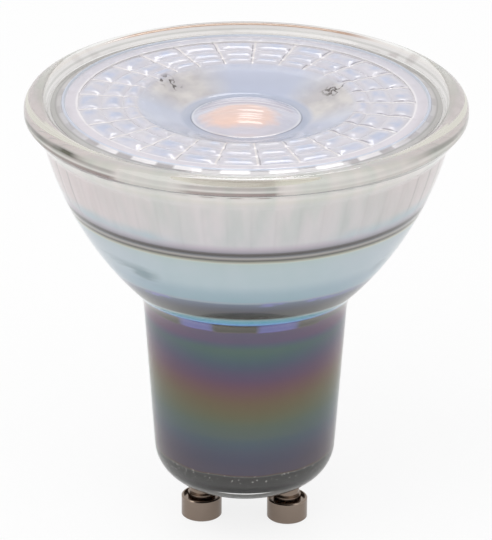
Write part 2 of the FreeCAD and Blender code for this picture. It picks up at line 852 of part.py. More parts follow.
def make_sleeve():
    body = new_body("driver_sleeve")
    gap = cell("sleeve_clearance")
    curve = cup_low_inside - gap
    inset = neck_wall + gap
    flare = level("sleeve_flare", funnel_height(inset, curve))
    top_radius = cup_radius(curve, dish_foot)
    bevel = cell("sleeve_foot_bevel")
    revolved(body, "sleeve_cup", [
        (ZERO, sleeve_foot),
        (neck_radius(inset, sleeve_foot) - bevel, sleeve_foot),
        (neck_radius(inset, sleeve_foot + bevel), sleeve_foot + bevel),
        (neck_radius(inset, flare), flare, curve, 1),
        (top_radius, dish_foot),
        (top_radius - cell("sleeve_rim_width"), dish_foot),
        (bore_radius, flare),
        (bore_radius, sleeve_floor_top),
        (ZERO, sleeve_floor_top),
    ])

    # A slot in the wall on each side guides the driver board, and runs out into the flare.
    clear = cell("slot_clearance")
    slot_length = flare + cell("slot_depth") - sleeve_floor_top
    slot = sketch_on(body, "XY_Plane", "guide_slot_plan", sleeve_floor_top)
    rectangle(slot, bore_radius - cell("slot_depth"), driver_back - clear,
              bore_radius + cell("slot_depth"), driver_face + clear)
    cut = pocketed(body, "guide_slot", slot, slot_length, reverse=True)
    mirrored(body, "guide_slots", cut)
    holes = sketch_on(body, "XY_Plane", "sleeve_lead_holes_plan", sleeve_floor_top)
    hole_radius = cell("mains_lead_radius") + cell("lead_hole_clearance")
    circle(holes, pin_offset, ZERO, hole_radius)
    circle(holes, -pin_offset, ZERO, hole_radius)
    pocketed(body, "sleeve_lead_holes", holes, cell("sleeve_floor"))
    return node(body, "driver_sleeve")


# Driver board and the parts on it, stacked in one row on its front and one on its back

def make_driver_board():
    body = new_body("driver_board")
    plan = sketch_on(body, "XZ_Plane", "driver_board_plan", -driver_face)
    top = driver_top
    corner = cell("driver_corner_radius")
    outline(plan, [
        (-driver_half, driver_foot),
        (driver_half, driver_foot),
        (driver_half, top - corner),
        (driver_half - corner, top),
        (-driver_half + corner, top),
        (-driver_half, top - corner),
    ])
    padded(body, "driver_board_sheet", plan, cell("driver_board_thickness"))
    return node(body, "driver_board")


def moulded_block(name, kind, front):
    """A moulded package on the board's front or back face, bevelled on its far side."""
    body = new_body(name)
    width = cell(kind + "_width")
    height = cell(kind + "_height")
    thickness = cell(kind + "_thickness")
    low = front_row[kind] if front else back_row[kind]
    if kind == "chip":
        low = low + cell("chip_leg_length")
    bevel = cell("body_bevel")
    base = driver_face + cell("part_gap") if front else driver_back - cell("part_gap")
    far = base + thickness if front else base - thickness
    shoulder = far - bevel if front else far + bevel
    section = sketch_on(body, "YZ_Plane", name + "_section", -width / 2)
    outline(section, [
        (base, low),
        (shoulder, low),
        (far, low + bevel),
        (far, low + height - bevel),
        (shoulder, low + height),
        (base, low + height),
    ])
    padded(body, name + "_package", section, width)
    return node(body, name)


def make_board_parts():
    moulded_block("bridge_rectifier", "rectifier", True)
    moulded_block("output_diode", "diode", True)
    moulded_block("film_capacitor", "film", False)
    add_chip_legs(moulded_block("driver_chip", "chip", False))
    make_resistors()
    make_can()
    make_fuse()
    make_inductor()


def add_chip_legs(body):
    """Four flat feet above and four below the package, against the board."""
    pitch = cell("chip_leg_pitch")
    length = cell("chip_leg_length")
    foot = sketch_on(body, "XZ_Plane", "chip_leg_plan", cell("part_gap") - driver_back)
    low = back_row["chip"]
    high = low + cell("chip_height") + length * 2
    half = cell("chip_leg_width") / 2
    for steps in (-1.5, -0.5, 0.5, 1.5):
        rectangle(foot, pitch * steps - half, low, pitch * steps + half, high)
    padded(body, "chip_legs", foot, cell("chip_leg_thickness"))


def make_resistors():
    """Three chip resistors in a row, as separate solids."""
    pieces = []
    for index in (-1, 0, 1):
        piece = doc.addObject("Part::Box", "sense_resistor_%d" % (index + 2))
        bind(piece, "Length", cell("resistor_width"))
        bind(piece, "Width", cell("resistor_thickness"))
        bind(piece, "Height", cell("resistor_height"))
        left = cell("resistor_pitch") * index - cell("resistor_width") / 2
        place(piece, (left, driver_back - cell("part_gap") - cell("resistor_thickness"),
                      back_row["resistor"]))
        pieces.append(piece)
    group = doc.addObject("Part::Compound", "sense_resistors")
    group.Links = pieces
    return node(group, "sense_resistors")


def make_can():
    """The electrolytic capacitor: an aluminium can with a rolled groove near its foot."""
    body = new_body("electrolytic_capacitor")
    radius = cell("can_radius")
    length = cell("can_length")
    bevel = cell("body_bevel")
    groove = cell("can_groove_level")
    depth = cell("can_groove_depth")
    revolved(body, "can", [
        (ZERO, ZERO),
        (radius - bevel, ZERO),
        (radius, bevel),
        (radius, groove - depth),
        (radius - depth, groove),
        (radius, groove + depth),
        (radius, length - bevel),
        (radius - bevel, length),
        (ZERO, length),
    ])
    place(body, (ZERO, driver_face + cell("part_gap") + radius, front_row["can"]))
    return node(body, "electrolytic_capacitor")


def make_fuse():
    """The fusible resistor: a lacquered rod with a cap at each end, lying across the board."""
    body = new_body("fusible_resistor")
    radius = cell("fuse_radius")
    bevel = cell("body_bevel")
    half = cell("fuse_length") / 2
    cap = cell("fuse_cap_length")
    revolved(body, "fuse_rod", [
        (-half, ZERO),
        (half, ZERO),
        (half, radius - bevel),
        (half - bevel, radius),
        (half - cap, radius),
        (half - cap - bevel, radius - bevel),
        (-half + cap + bevel, radius - bevel),
        (-half + cap, radius),
        (-half + bevel, radius),
        (-half, radius - bevel),
    ], "H_Axis")
    place(body, (ZERO, driver_back - cell("part_gap") - radius, back_row["fuse"] + radius))
    return node(body, "fusible_resistor")


def make_inductor():
    """A ferrite drum on the board's back, and the wire wound between its flanges."""
    radius = cell("drum_radius")
    length = cell("drum_length")
    flange = cell("drum_flange")
    waist = cell("drum_waist_radius")
    gap = cell("winding_clearance")
    profiles = {
        "inductor_core": [
            (ZERO, ZERO),
            (radius, ZERO),
            (radius, flange),
            (waist, flange),
            (waist, length - flange),
            (radius, length - flange),
            (radius, length),
            (ZERO, length),
        ],
        "inductor_winding": [
            (waist + gap, flange + gap),
            (cell("winding_radius"), flange + gap),
            (cell("winding_radius"), length - flange - gap),
            (waist + gap, length - flange - gap),
        ],
    }
    for name, profile in profiles.items():
        body = new_body(name)
        revolved(body, name + "_turned", profile)
        body.Placement.Rotation = FreeCAD.Rotation(FreeCAD.Vector(1, 0, 0), 90)
        place(body, (ZERO, driver_back - cell("part_gap"), back_row["drum"] + radius))
        node(body, name)


# Leads

def make_mains_lead(side, offset, start):
    lead = doc.addObject("Part::Cylinder", "mains_lead_" + side)
    bind(lead, "Radius", cell("mains_lead_radius"))
    bind(lead, "Height", cell("mains_lead_length"))
    place(lead, (offset, ZERO, start))
    return node(lead, "mains_lead_" + side)


def make_led_lead(colour, side):
    """An insulated lead from the driver board up through the dish to the top of the light board."""
    body = new_body("led_lead_" + colour)
    near = cell("led_lead_spacing") / 2
    start = driver_top - cell("led_lead_lap")
    bend = driver_top + cell("led_lead_rise")
    turn = ledge_level - cell("led_lead_drop")
    end = board_top + cell("led_lead_end")
    corners = [(near, start), (near, bend), (lead_hole_offset, turn), (lead_hole_offset, end)]
    path = sketch_on(body, "XZ_Plane", "led_lead_path_" + colour)
    points = [FreeCAD.Vector(side * x.number, z.number, 0) for x, z in corners]
    edges = []
    for index in range(3):
        edges.append(path.addGeometry(Part.LineSegment(points[index], points[index + 1]), False))
    for index in range(2):
        path.addConstraint(Sketcher.Constraint("Coincident", edges[index], 2, edges[index + 1], 1))
    for index, (x, z) in enumerate(corners):
        edge, end_point = (edges[index], 1) if index < 3 else (edges[2], 2)
        pin_point(path, edge, end_point, x * side, z)
    middles = [(points[index] + points[index + 1]) / 2 for index in range(3)]
    for index in range(2):
        path.fillet(edges[index], edges[index + 1], middles[index], middles[index + 1],
                    SIZES["led_lead_bend_radius"], True, True)
    plan = sketch_on(body, "XY_Plane", "led_lead_section_" + colour, start)
    circle(plan, near * side, ZERO, cell("led_lead_radius"))
    doc.recompute()
    pipe = body.newObject("PartDesign::AdditivePipe", "led_lead_run_" + colour)
    pipe.Profile = plan
    pipe.Spine = path
    doc.recompute()
    return node(body, "led_lead_" + colour)


make_glass_body()
make_lens()
make_seal()
make_dish()
make_pad()
make_led_board()
make_light_source()
make_sleeve()
make_driver_board()
make_board_parts()
for side, offset in (("left", -pin_offset), ("right", pin_offset)):
    rivet_top = make_pin(side, offset)
    make_eyelet(side, offset)
    make_mains_lead(side, offset, rivet_top)
make_led_lead("red", 1)
make_led_lead("black", -1)
doc.recompute()

for item in doc.Objects:
    if "Invalid" in item.State or "Error" in item.State:
        raise RuntimeError("%s did not build: %s" % (item.Name, item.State))
os.makedirs("parts", exist_ok=True)
for item in nodes:
    shape = item.Shape
    if shape.isNull() or not shape.isValid():
        raise RuntimeError("%s has no valid shape" % item.Label)
    shape.exportStep("parts/%s.step" % item.Label)
    print("%-24s volume %9.2f  solids %d" % (item.Label, shape.Volume, len(shape.Solids)))
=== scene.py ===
import json
import math

import bpy
import numpy as np
from mathutils import Matrix, Vector


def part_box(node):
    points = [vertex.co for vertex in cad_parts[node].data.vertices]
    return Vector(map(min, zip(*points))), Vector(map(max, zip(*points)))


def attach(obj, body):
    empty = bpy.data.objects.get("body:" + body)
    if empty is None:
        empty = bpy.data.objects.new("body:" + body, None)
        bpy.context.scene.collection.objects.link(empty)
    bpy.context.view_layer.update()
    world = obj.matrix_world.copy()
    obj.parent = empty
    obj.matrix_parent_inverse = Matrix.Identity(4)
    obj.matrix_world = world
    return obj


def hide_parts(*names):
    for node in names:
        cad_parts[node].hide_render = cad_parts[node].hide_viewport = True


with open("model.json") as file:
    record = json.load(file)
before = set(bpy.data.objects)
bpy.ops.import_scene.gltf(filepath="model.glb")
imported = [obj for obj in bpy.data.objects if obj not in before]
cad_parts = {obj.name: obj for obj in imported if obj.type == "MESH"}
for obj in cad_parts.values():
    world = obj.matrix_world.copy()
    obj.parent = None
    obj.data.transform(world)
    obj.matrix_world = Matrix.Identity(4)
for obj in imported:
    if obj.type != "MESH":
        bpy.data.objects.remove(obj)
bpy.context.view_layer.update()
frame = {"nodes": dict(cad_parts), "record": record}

# Sizes in millimetres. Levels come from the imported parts, and the rest are steps from them.
MM = 0.001
# From the thermal pad down to the ledge
DISH_THICKNESS = 1.0
NECK_HEIGHT = 23.39
# From the lens's edge to the outside of its seal
SEAL_REACH = 0.27


def lowest(name):
    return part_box(name)[0] / MM


def highest(name):
    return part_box(name)[1] / MM


crest = highest("glass_body").z
rim_radius = highest("glass_body").x
base_level = lowest("glass_body").z
floor_level = lowest("pin_eyelet_left").z
ledge_level = lowest("thermal_pad").z - DISH_THICKNESS
neck_top = base_level + NECK_HEIGHT
board_top = highest("led_board").z
dam_top = highest("led_dam").z
lens_radius = highest("lens_seal").x - SEAL_REACH

# Points on curves

# The spacing of points before they are thinned, and the turn from which a corner is kept sharp
STEP = 0.02
CORNER_TURN = math.radians(10)


def line(start, stop):
    count = max(int(math.dist(start, stop) / STEP), 2)
    return np.linspace(start, stop, count + 1)


def arc(start, stop, radius, side):
    """From start to stop. The centre lies left of that way for side 1, and right for -1."""
    start, stop = np.array(start), np.array(stop)
    way = stop - start
    half = np.linalg.norm(way) / 2
    across = np.array((-way[1], way[0])) / (2 * half) * side
    centre = (start + stop) / 2 + across * math.sqrt(radius * radius - half * half)
    return swept(start, stop, centre)


def swept(start, stop, centre):
    """The shorter way round centre from start to stop."""
    out = np.array(start) - centre
    back = np.array(stop) - centre
    first = math.atan2(out[1], out[0])
    turn = (math.atan2(back[1], back[0]) - first + math.pi) % (2 * math.pi) - math.pi
    radius = np.linalg.norm(out)
    count = max(int(abs(turn) * radius / STEP), 4)
    angles = first + turn * np.linspace(0, 1, count + 1)
    return centre + radius * np.stack((np.cos(angles), np.sin(angles)), axis=1)


def shifted(curve, distance):
    """The curve moved to its left."""
    way = np.gradient(curve, axis=0)
    way /= np.linalg.norm(way, axis=1)[:, None]
    return curve + distance * np.stack((-way[:, 1], way[:, 0]), axis=1)


def rounded(first, second, radius):
    """Two curves that meet in a corner, cut back and joined by an arc."""
    before = first[-1] - first[-2]
    after = second[1] - second[0]
    side = math.copysign(radius, before[0] * after[1] - before[1] * after[0])
    beside_first = shifted(first, side)
    beside_second = shifted(second, side)
    gaps = np.linalg.norm(beside_first[:, None] - beside_second[None], axis=2)
    i, j = np.unravel_index(gaps.argmin(), gaps.shape)
    centre = (beside_first[i] + beside_second[j]) / 2
    return first[:i], swept(first[i], second[j], centre), second[j + 1:]


def joined(corners, arcs):
    """A line or an arc from each corner to the next. arcs gives radius and side by the corner's place."""
    pairs = enumerate(zip(corners, corners[1:]))
    return [arc(*pair, *arcs[index]) if index in arcs else line(*pair) for index, pair in pairs]


def outline(curves, fillets, close=None):
    """Curves laid end to end. fillets gives the radius of the corner after a curve, by its place."""
    done = []
    current = curves[0]
    for index, following in enumerate(curves[1:]):
        if index in fillets:
            current, bend, following = rounded(current, following, fillets[index])
            done += [current, bend]
        else:
            done.append(current[:-1])
        current = following
    return thinned(np.concatenate(done + [current]), close)


def thinned(points, close, turn=math.radians(5), length=1.2, close_length=0.15):
    """Only the points that the shape needs: close together on bends, and every sharp corner.

    Where close says so of a point, the points stay close together for a relief to come."""
    ways = np.diff(points, axis=0)
    lengths = np.linalg.norm(ways, axis=1)
    headings = np.arctan2(ways[:, 1], ways[:, 0])
    turns = np.abs((np.diff(headings) + math.pi) % (2 * math.pi) - math.pi)
    kept = [0]
    turned_by = 0.0
    run = lengths[0]
    for index in range(1, len(points) - 1):
        turned_by += turns[index - 1]
        corner = turns[index - 1] > CORNER_TURN
        furthest = close_length if close and close(points[index]) else length
        if corner or turned_by > turn or run > furthest:
            kept.append(index)
            turned_by = 0.0
            run = 0.0
        run += lengths[index]
    return points[kept + [len(points) - 1]]


# How high above the flat bottom the second material reaches, and the turn from which an edge looks sharp
SHADED_FOOT = 1.1
CREASE = math.radians(32)


def turned(name, points, segments, shape=None, inner_from=None):
    """A closed piece: the outline, which runs from axis to axis, turned about the axis.

    From the ring inner_from on, faces take the second material and look into the wall. The flat
    bottom and the foot of its corner take it too."""
    angles = np.linspace(0, 2 * math.pi, segments, endpoint=False)
    radius = np.repeat(points[1:-1, 0][:, None], segments, axis=1)
    height = np.repeat(points[1:-1, 1][:, None], segments, axis=1)
    if shape:
        radius, height = shape(radius, height, angles)
    x = radius * np.cos(angles)
    y = radius * np.sin(angles)
    ends = [(0, 0, points[0, 1]), (0, 0, points[-1, 1])]
    verts = np.concatenate((ends, np.stack((x, y, height), axis=2).reshape(-1, 3))) * MM
    rings = len(points) - 2
    here = np.arange(segments)
    after = (here + 1) % segments
    faces = [(0, 2 + b, 2 + a) for a, b in zip(here, after)]
    for ring in range(rings - 1):
        low = 2 + ring * segments
        high = low + segments
        faces += [(low + a, low + b, high + b, high + a) for a, b in zip(here, after)]
    last = 2 + (rings - 1) * segments
    faces += [(last + a, last + b, 1) for a, b in zip(here, after)]
    faces = [tuple(int(v) for v in face) for face in faces]
    if inner_from is not None:
        first = segments * inner_from
        faces[first:] = [face[::-1] for face in faces[first:]]
    mesh = bpy.data.meshes.new(name)
    mesh.from_pydata(verts.tolist(), [], faces)
    mesh.shade_smooth()
    mesh.set_sharp_from_angle(angle=CREASE)
    piece = bpy.data.objects.new(name, mesh)
    bpy.context.scene.collection.objects.link(piece)
    if inner_from is not None:
        inner = np.zeros(len(mesh.polygons), dtype=np.int32)
        foot_rings = int((points[:, 1] < points[0, 1] + SHADED_FOOT).sum())
        inner[:segments * (foot_rings - 1)] = 1
        inner[first:] = 1
        mesh.polygons.foreach_set("material_index", inner)
    return piece


# Glass body

neck_foot_radius = 10.15
curve_height = neck_top + 28.62
cup_outside = 39.4
cup_low_inside = cup_outside - 3.0
cup_high_inside = cup_outside - 2.0
neck_wall = 1.5
flange_foot = crest - 4.25
flange_radius = rim_radius - 2.03
crest_radius = rim_radius - 1.25
seat_radius = crest_radius - 1.45
lens_seat = crest - 1.8
lens_face = lens_seat + 1.25
lip_level = crest - 0.8
flange_edge = crest - 1.65
rim_side = crest - 1.1
BEAD_CURVE = 1.18
LIP_CURVE = 1.5
BASE_CORNER = 4.5
NECK_FILLET = 5.0
FLANGE_FILLET = 1.2
EDGE_FILLET = 0.3
FUNNEL_FILLET = 3.0
FLOOR_CORNER = 1.8
curve_reach = math.sqrt(cup_outside ** 2 - (flange_foot - curve_height) ** 2) - flange_radius
FLUTES = 50
FLUTE_DEPTH = 0.2
FLUTE_END = 0.4
flute_foot = ledge_level + 1.3
flute_head = lens_seat - 1.6


def cup_radius(curve, height):
    return math.sqrt(curve ** 2 - (height - curve_height) ** 2) - curve_reach


neck_top_radius = cup_radius(cup_outside, neck_top)
neck_slope = (neck_top_radius - neck_foot_radius) / (neck_top - base_level)


def neck_radius(inset, height):
    return neck_foot_radius + neck_slope * (height - base_level) - inset


def funnel_height(inset, curve):
    reach = neck_radius(inset, curve_height) + curve_reach
    square = neck_slope ** 2 + 1
    half = neck_slope * reach
    return curve_height - (half + math.sqrt(half ** 2 - square * (reach ** 2 - curve ** 2))) / square


def fluted(radius, height, angles):
    """Shallow round hollows up the inner wall, between the ledge and the lens."""
    drop = np.clip(cup_high_inside ** 2 - (height - curve_height) ** 2, 0, None)
    from_wall = np.abs(radius - (np.sqrt(drop) - curve_reach))
    pitch = 2 * math.pi / FLUTES
    across = ((angles + pitch / 2) % pitch - pitch / 2) * radius
    depth = FLUTE_DEPTH * np.clip(1 - across ** 2, 0, None)
    depth *= np.clip((height - flute_foot) / FLUTE_END, 0, 1) * np.clip((flute_head - height) / FLUTE_END, 0, 1)
    return radius + depth * (from_wall < 1e-3), height


def make_glass():
    funnel = funnel_height(neck_wall, cup_low_inside)
    corners = [
        (0, base_level),
        (neck_foot_radius, base_level),
        (neck_top_radius, neck_top),
        (flange_radius, flange_foot),
        (rim_radius, flange_edge),
        (rim_radius, rim_side),
        (crest_radius, crest),
        (seat_radius, lip_level),
        (seat_radius, lens_seat),
        (cup_radius(cup_high_inside, lens_seat), lens_seat),
        (cup_radius(cup_high_inside, ledge_level), ledge_level),
        (cup_radius(cup_low_inside, ledge_level), ledge_level),
        (neck_radius(neck_wall, funnel), funnel),
        (neck_radius(neck_wall, floor_level), floor_level),
        (0, floor_level),
    ]
    arcs = {
        2: (cup_outside, 1),
        5: (BEAD_CURVE, 1),
        6: (LIP_CURVE, 1),
        9: (cup_high_inside, -1),
        11: (cup_low_inside, -1),
    }
    fillets = {
        0: BASE_CORNER,
        1: NECK_FILLET,
        2: FLANGE_FILLET,
        3: EDGE_FILLET,
        11: FUNNEL_FILLET,
        12: FLOOR_CORNER,
    }
    points = outline(joined(corners, arcs), fillets)
    seat_corner = np.array(corners[9])
    coat_from = int(np.linalg.norm(points - seat_corner, axis=1).argmin())
    return turned("glass_shell", points, 8 * FLUTES, fluted, coat_from)


# Lens

FACETS = 25
FACET_TURN = math.radians(3.4)
NOTCH_WIDTH = 1.4
NOTCH_HEIGHT = 1.4
LEG_AZIMUTHS = [math.radians(degrees) for degrees in (21.5, 141.5, 261.5)]
EDGE_THICKNESS = 1.0
RIDGE_HALF_WIDTH = 0.25
RIDGE_HEIGHT = 0.3
RIDGE_FILLET = 0.15
BOWL_FILLET = 0.4
ridge_radius = lens_radius - 1.4
band_inside = ridge_radius - 1.65
facet_rings = [band_inside - step for step in (6.75, 5.05, 2.65, 0)]
collimator_radius = facet_rings[0] - 0.5
valley = lens_face - 0.2
FACET_CROWN = 0.3
bowl_floor = lens_face - 1.95
bowl_radius = facet_rings[0] - 5.06
dome_radius = bowl_radius - 1.07
dome_rise = 1.45
skirt_foot = lens_seat - 2.0
skirt_radius = cup_radius(cup_high_inside, skirt_foot) - 0.55
skirt_inside = skirt_radius - 0.9
# The dome's ripples: how high, and how far apart, across and along the view
RIPPLES = ((0.004, 1.9), (0.022, 1.0))


def on_dome(radius, height):
    return (radius < dome_radius - 0.2) & (height > bowl_floor)


def lens_relief(radius, height, angles):
    """Rounds each facet from side to side, ripples the dome and parts the skirt into lugs."""
    facet_angle = 2 * math.pi / FACETS
    phase = (angles - FACET_TURN) % facet_angle / facet_angle
    swell = np.clip(1 - (2 * phase - 1) ** 6, 0, 1)
    on_top = height > valley - 0.01
    in_rings = (radius > facet_rings[0]) & (radius < facet_rings[3] + 1e-6) & on_top
    height = np.where(in_rings, valley + (height - valley) * swell, height)
    x = radius * np.cos(angles)
    y = radius * np.sin(angles)
    ripple = sum(rise * np.cos(2 * math.pi * place / pitch) for place, (rise, pitch) in zip((x, y), RIPPLES))
    height = height + on_dome(radius, height) * ripple * np.clip(dome_radius - radius, 0, 1)
    in_notch = np.abs(phase - 0.5) * facet_angle * skirt_radius < NOTCH_WIDTH / 2
    on_skirt = np.abs(height - skirt_foot) < 1e-3
    return radius, height + NOTCH_HEIGHT * (in_notch & on_skirt)


def make_lens():
    foot = dam_top + 0.55
    foot_radius = 4.9
    collimator_curve = 11.0
    well_top = bowl_floor - 1.4
    well = 3.6
    bulge = 0.7
    crown = [((b - a) ** 2 / 4 + FACET_CROWN ** 2) / (2 * FACET_CROWN)
             for a, b in zip(facet_rings, facet_rings[1:])]
    corners = [
        (0, well_top - bulge),
        (well, well_top),
        (well, foot),
        (foot_radius, foot),
        (collimator_radius, lens_seat),
        (skirt_inside, lens_seat),
        (skirt_inside, skirt_foot),
        (skirt_radius, skirt_foot),
        (skirt_radius, lens_seat),
        (lens_radius, lens_seat),
        (lens_radius, lens_seat + EDGE_THICKNESS),
        (ridge_radius + RIDGE_HALF_WIDTH, lens_face),
        (ridge_radius, lens_face + RIDGE_HEIGHT),
        (ridge_radius - RIDGE_HALF_WIDTH, lens_face),
        (facet_rings[3], lens_face),
        (facet_rings[3], valley),
        (facet_rings[2], valley),
        (facet_rings[1], valley),
        (facet_rings[0], valley),
        (bowl_radius, bowl_floor),
        (dome_radius, bowl_floor),
        (0, bowl_floor + dome_rise),
    ]
    arcs = {
        0: ((well ** 2 + bulge ** 2) / (2 * bulge), 1),
        3: (collimator_curve, 1),
        15: (crown[2], 1),
        16: (crown[1], 1),
        17: (crown[0], 1),
        20: ((dome_radius ** 2 + dome_rise ** 2) / (2 * dome_rise), 1),
    }
    fillets = {11: RIDGE_FILLET, 12: RIDGE_FILLET, 18: BOWL_FILLET}
    points = outline(joined(corners, arcs), fillets, lambda point: on_dome(*point))
    return turned("lens_moulding", points, 16 * FACETS, lens_relief)


PEG_RADIUS = 0.6
LEG_RADIUS = 0.9
LEG_SEGMENTS = 32


def make_legs():
    """Three legs under the lens, each stepped down to a peg at its foot."""
    legs = []
    circle = collimator_radius + 1.2
    foot = board_top + 0.1
    peg_foot = foot - 0.9
    head = lens_seat - 0.01
    points = np.array([
        (0, peg_foot),
        (PEG_RADIUS, peg_foot),
        (PEG_RADIUS, foot),
        (LEG_RADIUS, foot),
        (LEG_RADIUS, head),
        (0, head),
    ])
    for index, azimuth in enumerate(LEG_AZIMUTHS):
        leg = turned("lens_leg_%d" % (index + 1), points, LEG_SEGMENTS)
        leg.location = (circle * math.cos(azimuth) * MM, circle * math.sin(azimuth) * MM, 0)
        legs.append(leg)
    return legs


# Materials. Each is mixed in nodes from the object's own coordinates.

class Nodes:
    """A new material and short calls that add nodes to it."""

    def __init__(self, name):
        self.material = bpy.data.materials.new(name)
        self.material.use_nodes = True
        self.tree = self.material.node_tree
        self.shader = self.tree.nodes["Principled BSDF"]
        self.output = self.tree.nodes["Material Output"]
        self.place = self.add("ShaderNodeTexCoord").outputs["Object"]

    def add(self, kind, inputs=(), **settings):
        made = self.tree.nodes.new(kind)
        for key, value in settings.items():
            setattr(made, key, value)
        for socket, value in dict(inputs).items():
            self.give(made.inputs[socket], value)
        return made

    def give(self, socket, value):
        if isinstance(value, bpy.types.NodeSocket):
            self.tree.links.new(value, socket)
        else:
            socket.default_value = value

    def set(self, **values):
        """Values for the Principled shader's sockets, by name with _ for spaces."""
        for key, value in values.items():
            self.give(self.shader.inputs[key.replace("_", " ")], value)

    def math(self, operation, *values):
        node = self.add("ShaderNodeMath", operation=operation)
        for socket, value in zip(node.inputs, values):
            self.give(socket, value)
        return node.outputs[0]

    def times(self, first, *others):
        for value in others:
            first = self.math("MULTIPLY", first, value)
        return first

    def coordinates(self):
        return self.add("ShaderNodeSeparateXYZ", {0: self.place}).outputs

    def noise(self, scale, detail=3.0, stretch=(1, 1, 1)):
        place = self.add("ShaderNodeMapping", {"Vector": self.place, "Scale": stretch}).outputs[0]
        return self.add("ShaderNodeTexNoise", {"Vector": place, "Scale": scale, "Detail": detail}).outputs["Fac"]

    def spread(self, value, low, high):
        """The value, which runs from 0 to 1, taken to low..high."""
        return self.add("ShaderNodeMapRange", {"Value": value, "To Min": low, "To Max": high}).outputs[0]

    def slope(self, value, start, stop):
        """0 where the value is start and 1 where it is stop, which may be the lower. Flat beyond both."""
        return self.add("ShaderNodeMapRange", {"Value": value, "From Min": start, "From Max": stop}).outputs[0]

    def ramp(self, value, stops):
        node = self.add("ShaderNodeValToRGB", {"Fac": value})
        ramp = node.color_ramp
        while len(ramp.elements) > 1:
            ramp.elements.remove(ramp.elements[-1])
        ramp.elements[0].position = stops[0][0]
        ramp.elements[0].color = (*stops[0][1], 1)
        for position, colour in stops[1:]:
            ramp.elements.new(position).color = (*colour, 1)
        return node.outputs["Color"]

    def mixed(self, factor, first, second, blend="MIX"):
        node = self.add("ShaderNodeMix", data_type="RGBA", blend_type=blend)
        for index, value in ((0, factor), (6, first), (7, second)):
            value = (*value, 1) if isinstance(value, tuple) and len(value) == 3 else value
            self.give(node.inputs[index], value)
        return node.outputs[2]

    def bump(self, height, distance):
        self.set(Normal=self.add("ShaderNodeBump", {"Height": height, "Distance": distance}).outputs[0])


def linear(red, green, blue):
    """A colour as it is seen on the screen, 0 to 255, as the light it stands for."""
    return tuple((c / 255 / 12.92) if c < 11 else ((c / 255 + 0.055) / 1.055) ** 2.4 for c in (red, green, blue))


def plain(name, colour, roughness, metallic=0.0, grain=900.0, vary=0.08, relief=0.00001, stretch=(1, 1, 1)):
    """A finish of one colour, with a fine grain in its shade, its gloss and its surface."""
    nodes = Nodes(name)
    grain_value = nodes.noise(grain, 4.0, stretch)
    dark = tuple(c * (1 - vary) for c in colour)
    light = tuple(min(c * (1 + vary), 1) for c in colour)
    nodes.set(
        Base_Color=nodes.mixed(grain_value, dark, light),
        Roughness=nodes.spread(grain_value, roughness * 0.8, min(roughness * 1.2, 1)),
        Metallic=metallic,
    )
    nodes.bump(grain_value, relief)
    return nodes.material


# A ray that has turned more often than this inside a clear piece ends there
DEEP = 3
# How far round from the front the camera stands
AZIMUTH = math.radians(3)


def passed_by(nodes, shade, glow):
    """Lets shadow rays and diffuse rays straight through, so that the inside is lit.

    A ray that has turned many times inside the piece ends there as soft light."""
    path = nodes.add("ShaderNodeLightPath").outputs
    passing = nodes.math("MAXIMUM", path["Is Shadow Ray"], path["Is Diffuse Ray"])
    clear = nodes.add("ShaderNodeBsdfTransparent", {"Color": (*shade, 1)}).outputs[0]
    mix = nodes.add("ShaderNodeMixShader", {0: passing, 1: nodes.shader.outputs[0], 2: clear})
    deep = nodes.math("GREATER_THAN", path["Ray Depth"], float(DEEP))
    soft = nodes.add("ShaderNodeEmission", {"Color": (*glow, 1)}).outputs[0]
    ended = nodes.add("ShaderNodeMixShader", {0: deep, 1: mix.outputs[0], 2: soft})
    nodes.give(nodes.output.inputs["Surface"], ended.outputs[0])


def from_axis(nodes):
    """Distance from the lamp's axis in metres."""
    parts = nodes.coordinates()
    flat = nodes.add("ShaderNodeCombineXYZ", {"X": parts["X"], "Y": parts["Y"]}).outputs[0]
    return nodes.add("ShaderNodeVectorMath", {0: flat}, operation="LENGTH").outputs["Value"]


def around(nodes, count, turn):
    """How far round from one of count even places to the next, 0 to 1. turn is the first place's angle."""
    parts = nodes.coordinates()
    angle = nodes.math("ARCTAN2", parts["Y"], parts["X"])
    steps = nodes.math("MULTIPLY", nodes.math("SUBTRACT", angle, turn), count / (2 * math.pi))
    return nodes.math("FRACT", steps)


def window(nodes, value, low, high, soft):
    """1 between low and high, 0 outside, with soft sides."""
    return nodes.times(nodes.slope(value, low - soft, low + soft), nodes.slope(value, high + soft, high - soft))


def band(nodes, value, low, high, soft):
    """A window with its limits in millimetres."""
    return window(nodes, value, low * MM, high * MM, soft * MM)


def by_angle(nodes, stops):
    """A number by the angle in degrees from the front, counted to the right, -180 to 180."""
    turn = around(nodes, 1, AZIMUTH - 1.5 * math.pi)
    return nodes.ramp(turn, [(0.5 + angle / 360, (value,) * 3) for angle, value in stops])


def above(nodes, value, least, soft):
    """0 under least, rising to 1."""
    return nodes.slope(value, least, least + soft)


def levels_ramp(nodes, height, stops):
    """Colours by height above the pins' ends in millimetres."""
    part = nodes.math("DIVIDE", height, crest * MM)
    return nodes.ramp(part, [(min(level / crest, 1), colour) for level, colour in stops])


def marked(nodes, colour, strength, tint, round_at):
    """colour with a mark of another tint, whose strength also depends on the angle from the front."""
    return nodes.mixed(nodes.times(strength, by_angle(nodes, round_at)), colour, tint)


# Tint of the clear glass by height: thin brown lines of painted reflection round the rim's side
RIM_TINT = [
    (50.6, (1.0, 1.0, 1.0)),
    (50.78, (1.0, 0.98, 0.98)),
    (50.86, (0.2, 0.13, 0.13)),
    (51.08, (0.2, 0.13, 0.13)),
    (51.18, (1.0, 1.0, 1.0)),
    (51.42, (1.0, 1.0, 1.0)),
    (51.5, (0.24, 0.2, 0.2)),
    (51.66, (0.24, 0.2, 0.2)),
    (51.76, (0.92, 0.93, 0.9)),
    (52.5, (0.96, 0.96, 0.93)),
]
